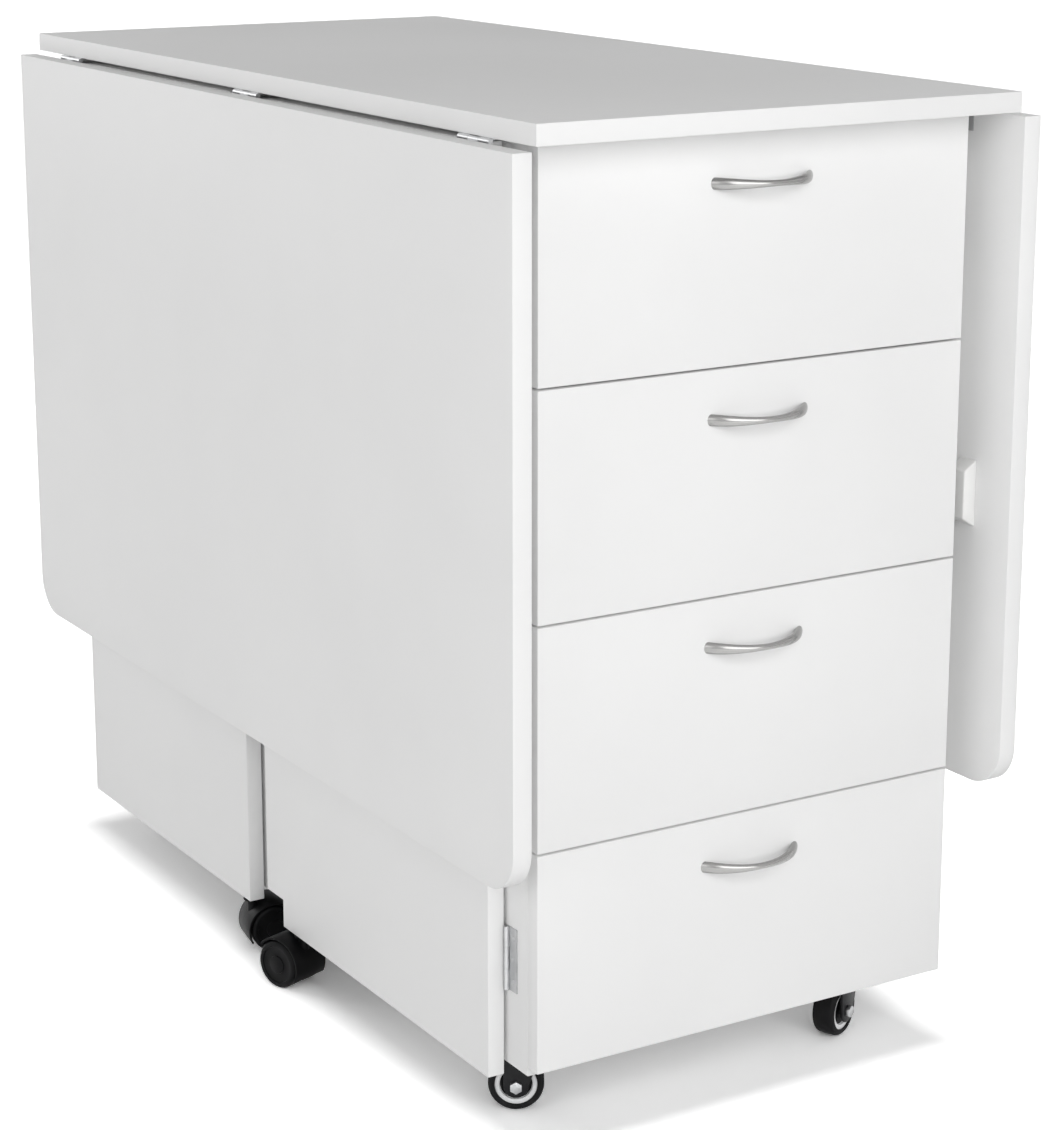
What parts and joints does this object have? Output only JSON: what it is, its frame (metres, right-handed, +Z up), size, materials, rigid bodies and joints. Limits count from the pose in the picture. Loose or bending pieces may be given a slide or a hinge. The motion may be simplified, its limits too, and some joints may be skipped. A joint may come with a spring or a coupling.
{
  "type": "folding sewing cutting table",
  "caption": "Folding cutting table: drawer cabinet on casters under a narrow fixed top, with a hinged drop leaf on each long edge and castered swing-out gates beneath the leaves.",
  "frame": {"origin": "on the floor, under the middle of the table top", "axes": "+X to the right seen from the drawers, +Y from the drawers to the back, +Z up"},
  "size_m": [0.5304, 1.025, 0.886],
  "materials": {
    "white_board": "white satin melamine on particle board",
    "white_plastic": "white moulded plastic",
    "zinc_steel": "zinc plated steel",
    "runner_steel": "zinc plated steel",
    "satin_nickel": "satin nickel",
    "black_steel": "black painted steel",
    "black_rubber": "black rubber tyre on a pale grey plastic rim",
    "black_plastic": "black moulded plastic"
  },
  "bodies": {
    "cabinet": {"table_top": "white_board", "side_panel_left": "white_board", "side_panel_right": "white_board", "bottom_panel": "white_board", "back_panel": "white_board", "top_rails": "white_board", "cabinet_runners": "runner_steel", "cabinet_caster_plates": "zinc_steel", "leaf_hinge_fixed_plates": "zinc_steel", "gate_hinge_fixed_plates": "zinc_steel"},
    "leaf_left": {"left_leaf": "white_board", "left_leaf_hinge_plates": "zinc_steel", "left_leaf_catches": "white_plastic"},
    "leaf_right": {"right_leaf": "white_board", "right_leaf_hinge_plates": "zinc_steel", "right_leaf_catches": "white_plastic"},
    "drawer_1": {"drawer_1_front": "white_board", "drawer_1_box": "white_board", "drawer_1_runners": "runner_steel", "drawer_1_handle": "satin_nickel"},
    "drawer_2": {"drawer_2_front": "white_board", "drawer_2_box": "white_board", "drawer_2_runners": "runner_steel", "drawer_2_handle": "satin_nickel"},
    "drawer_3": {"drawer_3_front": "white_board", "drawer_3_box": "white_board", "drawer_3_runners": "runner_steel", "drawer_3_handle": "satin_nickel"},
    "drawer_4": {"drawer_4_front": "white_board", "drawer_4_box": "white_board", "drawer_4_runners": "runner_steel", "drawer_4_handle": "satin_nickel"},
    "gate_left_front": {"left_front_gate": "white_board", "left_front_gate_hinge_plates": "zinc_steel", "left_front_gate_caster_socket": "zinc_steel"},
    "gate_swivel_left_front": {"left_front_gate_caster_hood": "black_plastic"},
    "gate_wheels_left_front": {"left_front_gate_caster_wheels": "black_plastic"},
    "gate_left_rear": {"left_rear_gate": "white_board", "left_rear_gate_hinge_plates": "zinc_steel", "left_rear_gate_caster_socket": "zinc_steel"},
    "gate_swivel_left_rear": {"left_rear_gate_caster_hood": "black_plastic"},
    "gate_wheels_left_rear": {"left_rear_gate_caster_wheels": "black_plastic"},
    "gate_right_front": {"right_front_gate": "white_board", "right_front_gate_hinge_plates": "zinc_steel", "right_front_gate_caster_socket": "zinc_steel"},
    "gate_swivel_right_front": {"right_front_gate_caster_hood": "black_plastic"},
    "gate_wheels_right_front": {"right_front_gate_caster_wheels": "black_plastic"},
    "gate_right_rear": {"right_rear_gate": "white_board", "right_rear_gate_hinge_plates": "zinc_steel", "right_rear_gate_caster_socket": "zinc_steel"},
    "gate_swivel_right_rear": {"right_rear_gate_caster_hood": "black_plastic"},
    "gate_wheels_right_rear": {"right_rear_gate_caster_wheels": "black_plastic"},
    "swivel_front_left": {"front_left_caster_fork": "black_steel"},
    "wheel_front_left": {"front_left_caster_wheel": "black_rubber"},
    "swivel_front_right": {"front_right_caster_fork": "black_steel"},
    "wheel_front_right": {"front_right_caster_wheel": "black_rubber"},
    "swivel_rear_left": {"rear_left_caster_fork": "black_steel"},
    "wheel_rear_left": {"rear_left_caster_wheel": "black_rubber"},
    "swivel_rear_right": {"rear_right_caster_fork": "black_steel"},
    "wheel_rear_right": {"rear_right_caster_wheel": "black_rubber"}
  },
  "joints": [
    {"name": "left_leaf_raise", "type": "hinge", "parent": "cabinet", "child": "leaf_left", "pos_m": [-0.24475, 0, 0.8655], "axis": [0, 1, 0], "range_deg": [0, 90]},
    {"name": "right_leaf_raise", "type": "hinge", "parent": "cabinet", "child": "leaf_right", "pos_m": [0.24475, 0, 0.8655], "axis": [0, -1, 0], "range_deg": [0, 90]},
    {"name": "drawer_1_slide", "type": "slide", "parent": "cabinet", "child": "drawer_1", "axis": [0, -1, 0], "range_m": [0, 0.4]},
    {"name": "drawer_2_slide", "type": "slide", "parent": "cabinet", "child": "drawer_2", "axis": [0, -1, 0], "range_m": [0, 0.4]},
    {"name": "drawer_3_slide", "type": "slide", "parent": "cabinet", "child": "drawer_3", "axis": [0, -1, 0], "range_m": [0, 0.4]},
    {"name": "drawer_4_slide", "type": "slide", "parent": "cabinet", "child": "drawer_4", "axis": [0, -1, 0], "range_m": [0, 0.4]},
    {"name": "left_front_gate_swing", "type": "hinge", "parent": "cabinet", "child": "gate_left_front", "pos_m": [-0.2207, -0.4265, 0], "axis": [0, 0, 1], "range_deg": [0, 1]},
    {"name": "left_front_gate_caster_swivel", "type": "hinge", "parent": "gate_left_front", "child": "gate_swivel_left_front", "pos_m": [-0.2295, -0.054, 0], "axis": [0, 0, 1], "continuous": true},
    {"name": "left_front_gate_caster_roll", "type": "hinge", "parent": "gate_swivel_left_front", "child": "gate_wheels_left_front", "pos_m": [-0.23566, -0.03709, 0.024], "axis": [-0.9397, -0.342, 0], "continuous": true},
    {"name": "left_rear_gate_swing", "type": "hinge", "parent": "cabinet", "child": "gate_left_rear", "pos_m": [-0.2207, 0.4455, 0], "axis": [0, 0, -1], "range_deg": [0, 1]},
    {"name": "left_rear_gate_caster_swivel", "type": "hinge", "parent": "gate_left_rear", "child": "gate_swivel_left_rear", "pos_m": [-0.2295, 0.061, 0], "axis": [0, 0, 1], "continuous": true},
    {"name": "left_rear_gate_caster_roll", "type": "hinge", "parent": "gate_swivel_left_rear", "child": "gate_wheels_left_rear", "pos_m": [-0.21177, 0.05787, 0.024], "axis": [0.1736, 0.9848, 0], "continuous": true},
    {"name": "right_front_gate_swing", "type": "hinge", "parent": "cabinet", "child": "gate_right_front", "pos_m": [0.2207, -0.4265, 0], "axis": [0, 0, -1], "range_deg": [0, 1]},
    {"name": "right_front_gate_caster_swivel", "type": "hinge", "parent": "gate_right_front", "child": "gate_swivel_right_front", "pos_m": [0.2295, -0.054, 0], "axis": [0, 0, 1], "continuous": true},
    {"name": "right_front_gate_caster_roll", "type": "hinge", "parent": "gate_swivel_right_front", "child": "gate_wheels_right_front", "pos_m": [0.23566, -0.03709, 0.024], "axis": [-0.9397, 0.342, 0], "continuous": true},
    {"name": "right_rear_gate_swing", "type": "hinge", "parent": "cabinet", "child": "gate_right_rear", "pos_m": [0.2207, 0.4455, 0], "axis": [0, 0, 1], "range_deg": [0, 1]},
    {"name": "right_rear_gate_caster_swivel", "type": "hinge", "parent": "gate_right_rear", "child": "gate_swivel_right_rear", "pos_m": [0.2295, 0.061, 0], "axis": [0, 0, 1], "continuous": true},
    {"name": "right_rear_gate_caster_roll", "type": "hinge", "parent": "gate_swivel_right_rear", "child": "gate_wheels_right_rear", "pos_m": [0.21177, 0.05787, 0.024], "axis": [0.1736, -0.9848, 0], "continuous": true},
    {"name": "front_left_caster_swivel", "type": "hinge", "parent": "cabinet", "child": "swivel_front_left", "pos_m": [-0.168, -0.397, 0], "axis": [0, 0, 1], "continuous": true},
    {"name": "front_left_caster_roll", "type": "hinge", "parent": "swivel_front_left", "child": "wheel_front_left", "pos_m": [-0.18676, -0.3855, 0.025], "axis": [-0.5225, -0.8526, 0], "continuous": true},
    {"name": "front_right_caster_swivel", "type": "hinge", "parent": "cabinet", "child": "swivel_front_right", "pos_m": [0.168, -0.397, 0], "axis": [0, 0, 1], "continuous": true},
    {"name": "front_right_caster_roll", "type": "hinge", "parent": "swivel_front_right", "child": "wheel_front_right", "pos_m": [0.14814, -0.40647, 0.025], "axis": [0.4305, -0.9026, 0], "continuous": true},
    {"name": "rear_left_caster_swivel", "type": "hinge", "parent": "cabinet", "child": "swivel_rear_left", "pos_m": [-0.168, 0.397, 0], "axis": [0, 0, 1], "continuous": true},
    {"name": "rear_left_caster_roll", "type": "hinge", "parent": "swivel_rear_left", "child": "wheel_rear_left", "pos_m": [-0.14733, 0.40452, 0.025], "axis": [-0.342, 0.9397, 0], "continuous": true},
    {"name": "rear_right_caster_swivel", "type": "hinge", "parent": "cabinet", "child": "swivel_rear_right", "pos_m": [0.168, 0.397, 0], "axis": [0, 0, 1], "continuous": true},
    {"name": "rear_right_caster_roll", "type": "hinge", "parent": "swivel_rear_right", "child": "wheel_rear_right", "pos_m": [0.14685, 0.39094, 0.025], "axis": [0.2756, -0.9613, 0], "continuous": true}
  ]
}
